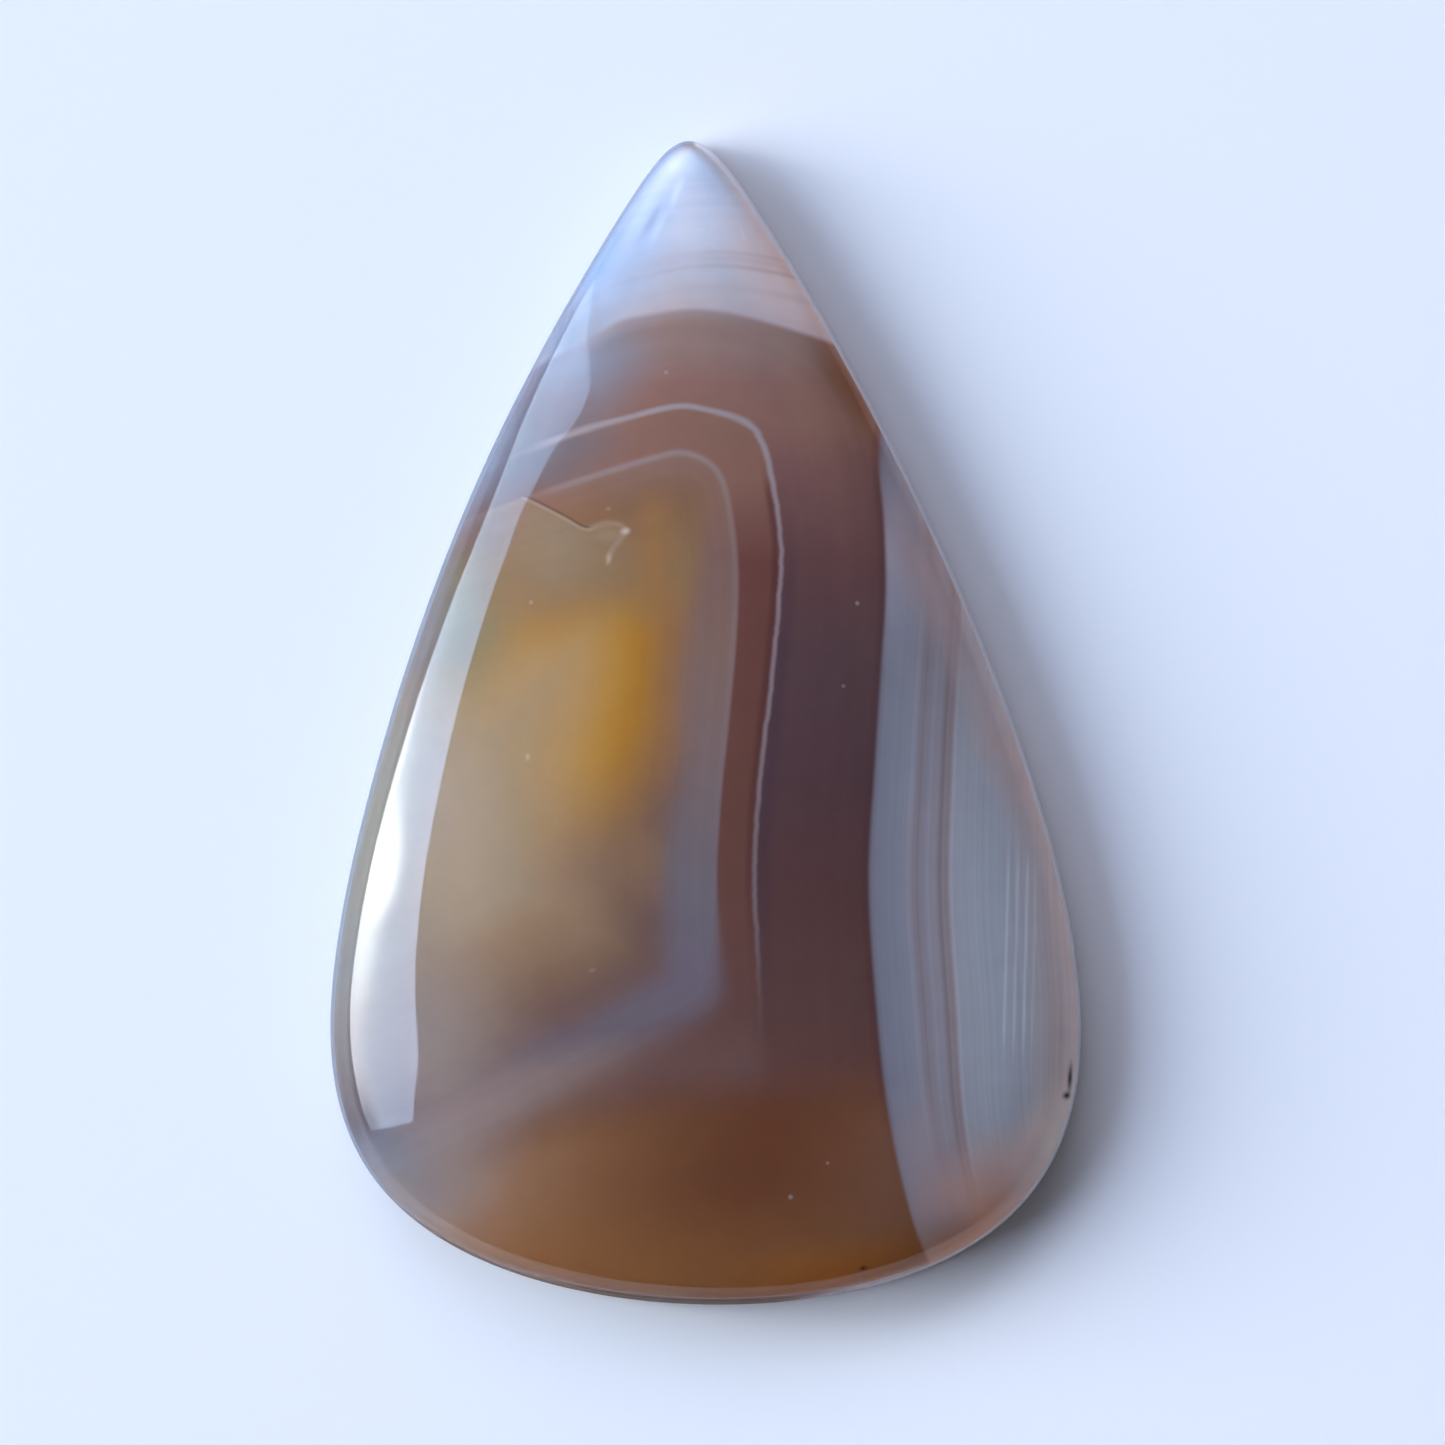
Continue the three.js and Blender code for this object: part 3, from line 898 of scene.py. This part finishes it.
def agate_material():
    material = bpy.data.materials.new("agate")
    material.use_nodes = True
    paint = Paint(material.node_tree)
    shader = paint.tree.nodes["Principled BSDF"].inputs
    true_place = paint.attribute("place", "Vector")
    place = paint.shifted(true_place, *BANDS_WAVER)
    x, y = (paint.part(place, axis) for axis in (0, 1))
    true_x, depth = (paint.part(true_place, axis) for axis in (0, 2))
    across = paint.attribute("across_face")
    inside_edge = paint.attribute("inside_edge")
    rim = paint.step(inside_edge, *RIM_FADE)
    ground = paint.step(depth, *GROUND_FADE)
    at_bottom = paint.product(paint.step(y, *BOTTOM_Y_FADE), paint.step(x, *BOTTOM_X_FADE))

    colour = agate_colour(paint, place, x, y, true_x, across)
    colour = paint.uneven(colour, true_place, *CLOUDS)
    colour = paint.pools(true_place, colour, MARKS, SURFACE_MARK_DEPTH)
    paint.feed(shader["Base Color"], edge_colour(paint, colour, across, rim, ground, at_bottom))

    # The unpolished edge and the rim away from the window have less sheen.
    dull = paint.product(paint.step(inside_edge, *DULL_RIM_FADE), paint.step(across, *DULL_SIDE_FADE))
    dull = paint.math("MAXIMUM", paint.math("MAXIMUM", dull, ground), paint.product(rim, at_bottom))
    finish_surface(paint, shader, true_place, ground, dull)
    return material


def plain_material(name, colour, roughness):
    material = bpy.data.materials.new(name)
    material.use_nodes = True
    shader = material.node_tree.nodes["Principled BSDF"]
    shader.inputs["Base Color"].default_value = (*colour, 1)
    shader.inputs["Roughness"].default_value = roughness
    return material


# The camera looks straight down.
FRAME_WIDTH = 49.54 * MM
CAMERA_AIM = (0.857 * MM, 0, 0.9 * MM)
CAMERA_DISTANCE = 0.3
CAMERA_TURN = math.radians(-1.55)


def add_camera():
    data = bpy.data.cameras.new("camera")
    data.lens = data.sensor_width * CAMERA_DISTANCE / FRAME_WIDTH
    camera = bpy.data.objects.new("camera", data)
    bpy.context.scene.collection.objects.link(camera)
    camera.location = Vector(CAMERA_AIM) + Vector((0, 0, CAMERA_DISTANCE))
    camera.rotation_euler = (0, 0, CAMERA_TURN)
    bpy.context.scene.camera = camera


# The two soft lights stand upright round the stone. Their sides are directions, in degrees: round from
# the left (-x) toward the top of the picture (+y), and up.
LIGHT_DISTANCE = 1.2
# The window has rounded corners. It is brightest low in its middle, and dim low on its left.
WINDOW_FACING = 12
WINDOW_SIDES = (-22, 44)
WINDOW_HEIGHTS = (6, 66)
WINDOW_CORNER = 0.22
WINDOW_EDGE_SOFTNESS = 0.03
# Its top and bottom edges, as shares of the light's height, along the share of its width.
WINDOW_TOP = (
    (0.0, 0.538), (0.12, 0.565), (0.255, 0.61), (0.41, 0.562), (0.5, 0.52), (0.605, 0.486),
    (0.68, 0.494), (0.73, 0.521), (0.78, 0.56), (0.86, 0.705), (0.92, 0.86), (1.0, 0.95),
)
WINDOW_BOTTOM = (
    (0.0, 0.043), (0.22, 0.035), (0.39, 0.0), (0.54, 0.006), (0.58, 0.036), (0.625, 0.077),
    (0.67, 0.12), (0.72, 0.148), (0.76, 0.104), (0.815, 0.026), (1.0, 0.0),
)
# Its right side, as a share of its width, up its height.
WINDOW_RIGHT = ((0.0, 0.845), (0.14, 0.858), (0.32, 0.876), (0.58, 0.907), (0.81, 0.948), (1.0, 0.98))
# Its colours up its height, and their tints along its width.
WINDOW_COLOURS = (
    (0.0, (7.8, 8.6, 10.6)), (0.095, (8.4, 9.2, 11.2)), (0.165, (7.4, 8.3, 10.5)),
    (0.25, (6.0, 7.1, 9.5)), (0.35, (5.1, 6.4, 9.1)), (0.5, (4.4, 5.7, 8.7)), (1.0, (4.4, 5.7, 8.7)),
)
WINDOW_TINTS = (
    (0.0, (0.72, 0.74, 0.74)), (0.236, (1.0, 0.95, 0.88)), (0.407, (1.09, 1.04, 0.94)),
    (0.53, (1.06, 1.06, 1.06)), (0.6, (0.93, 1.0, 1.05)), (0.663, (0.73, 0.84, 0.88)),
    (0.72, (0.57, 0.69, 0.71)), (0.79, (0.51, 0.61, 0.62)), (1.0, (0.44, 0.53, 0.55)),
)
# A patch is: its direction, its radii in metres and its colour.
WINDOW_PATCHES = {
    "wide": ((9.0, 19), (0.23, 0.56), (13, 14.3, 16.3)),
    "bright": ((12.3, 24), (0.08, 0.60), (25, 27, 29)),
    "low right": ((16.2, 14), (0.10, 0.22), (15, 16, 17)),
    "dim low left": ((-22, 14), (0.5, 0.5), (2.4, 2.7, 3.4)),
}
# The side light is a dim oval that fades out to its rim.
SIDE_FACING = 72
SIDE_SIDES = (20, 124)
SIDE_HEIGHTS = (6, 64)
SIDE_COLOUR = (2.8, 3.1, 4.25)
SIDE_OVAL = ((0.5, 0.5), (0.5, 0.5), 0, 1.0)
ROOM_COLOUR = (0.07, 0.074, 0.087)

FLOOR_HALF_WIDTH = 1.5
PAPER_COLOUR = (0.90, 0.88, 0.86)
PAPER_ROUGHNESS = 0.9


def light_place(facing, round_from_left, up):
    """Where a direction meets a light, in metres from the point straight ahead on the floor."""
    away = math.radians(round_from_left - facing)
    return LIGHT_DISTANCE * math.tan(away), LIGHT_DISTANCE / math.cos(away) * math.tan(math.radians(up))


def add_light(name, facing, sides, heights):
    """Gives back the light, its nodes and where its low left corner is."""
    light = bpy.data.lights.new(name, "AREA")
    light.shape = "RECTANGLE"
    left, right = (light_place(facing, side, 0)[0] for side in sides)
    low, high = (light_place(facing, facing, up)[1] for up in heights)
    light.size = right - left
    light.size_y = high - low
    # With this energy, the light is as bright as its colours say.
    light.energy = math.pi * light.size * light.size_y
    lamp = bpy.data.objects.new(name, light)
    bpy.context.scene.collection.objects.link(lamp)
    turn = math.radians(facing)
    out = Vector((-math.cos(turn), math.sin(turn), 0))
    across = Vector((math.sin(turn), math.cos(turn), 0))
    lamp.location = out * LIGHT_DISTANCE + across * (left + right) / 2 + Vector((0, 0, (low + high) / 2))
    lamp.rotation_euler = (-out).to_track_quat("-Z", "Y").to_euler()
    lamp.visible_camera = False
    light.use_nodes = True
    return light, Paint(light.node_tree), (left, low)


def window_colour(paint, where, u, v, size, low_corner):
    """The window's colours, where u and v are shares of its width and height."""
    colour = paint.ramp(v, WINDOW_COLOURS, "LINEAR")
    for direction, radii, patch_colour in WINDOW_PATCHES.values():
        from_left, height = light_place(WINDOW_FACING, *direction)
        centre = (1 - (from_left - low_corner[0]) / size[0], (height - low_corner[1]) / size[1])
        radii = (radii[0] / size[0], radii[1] / size[1])
        colour = paint.wash(paint.spot(where, centre, radii, 0, 1.0), colour, patch_colour)
    return paint.tinted(colour, paint.ramp(u, WINDOW_TINTS, "LINEAR"))


def past_window_corner(paint, u, v, size):
    """How far a place on the light is from the centre of its nearest rounded corner."""
    top, bottom = (paint.level(u, stops) for stops in (WINDOW_TOP, WINDOW_BOTTOM))
    across = paint.math("DIVIDE", u, paint.level(v, WINDOW_RIGHT))
    up = paint.math("DIVIDE", paint.math("SUBTRACT", v, bottom), paint.math("SUBTRACT", top, bottom))
    squares = []
    for share, side in zip((across, up), size):
        from_middle = paint.product(paint.math("ABSOLUTE", paint.math("SUBTRACT", share, 0.5)), side)
        past = paint.math("MAXIMUM", paint.math("SUBTRACT", from_middle, side / 2 - WINDOW_CORNER), 0.0)
        squares.append(paint.math("POWER", past, 2.0))
    return paint.math("SQRT", paint.math("ADD", *squares))


def add_window():
    light, paint, low_corner = add_light("window", WINDOW_FACING, WINDOW_SIDES, WINDOW_HEIGHTS)
    where = paint.node("ShaderNodeNewGeometry", {}, "Parametric")
    # On the light, the parametric x runs from right to left.
    u = paint.math("SUBTRACT", 1.0, paint.part(where, 0))
    v = paint.part(where, 1)
    size = (light.size, light.size_y)
    inner_corner = WINDOW_CORNER * (1 - WINDOW_EDGE_SOFTNESS)
    shining = paint.step(past_window_corner(paint, u, v, size), WINDOW_CORNER, inner_corner)
    emission = light.node_tree.nodes["Emission"].inputs
    paint.feed(emission["Color"], window_colour(paint, where, u, v, size, low_corner))
    paint.feed(emission["Strength"], shining)


def add_side_light():
    light, paint, _ = add_light("side light", SIDE_FACING, SIDE_SIDES, SIDE_HEIGHTS)
    where = paint.node("ShaderNodeNewGeometry", {}, "Parametric")
    emission = light.node_tree.nodes["Emission"].inputs
    paint.feed(emission["Color"], (*SIDE_COLOUR, 1))
    paint.feed(emission["Strength"], paint.spot(where, *SIDE_OVAL))


def add_world():
    world = bpy.data.worlds.new("room")
    world.use_nodes = True
    world.node_tree.nodes["Background"].inputs["Color"].default_value = (*ROOM_COLOUR, 1)
    bpy.context.scene.world = world


def add_floor():
    half = FLOOR_HALF_WIDTH
    corners = [(-half, -half, 0), (half, -half, 0), (half, half, 0), (-half, half, 0)]
    mesh = bpy.data.meshes.new("floor")
    mesh.from_pydata(corners, [], [(0, 1, 2, 3)])
    floor = bpy.data.objects.new("floor", mesh)
    bpy.context.scene.collection.objects.link(floor)
    floor.data.materials.append(plain_material("paper", PAPER_COLOUR, PAPER_ROUGHNESS))


add_camera()
add_window()
add_side_light()
add_world()
add_floor()
stone = bpy.data.objects.new("agate", stone_mesh())
bpy.context.scene.collection.objects.link(stone)
stone.data.materials.append(agate_material())
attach(stone, "root")
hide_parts(NODE)
bpy.context.scene.view_settings.view_transform = "Standard"
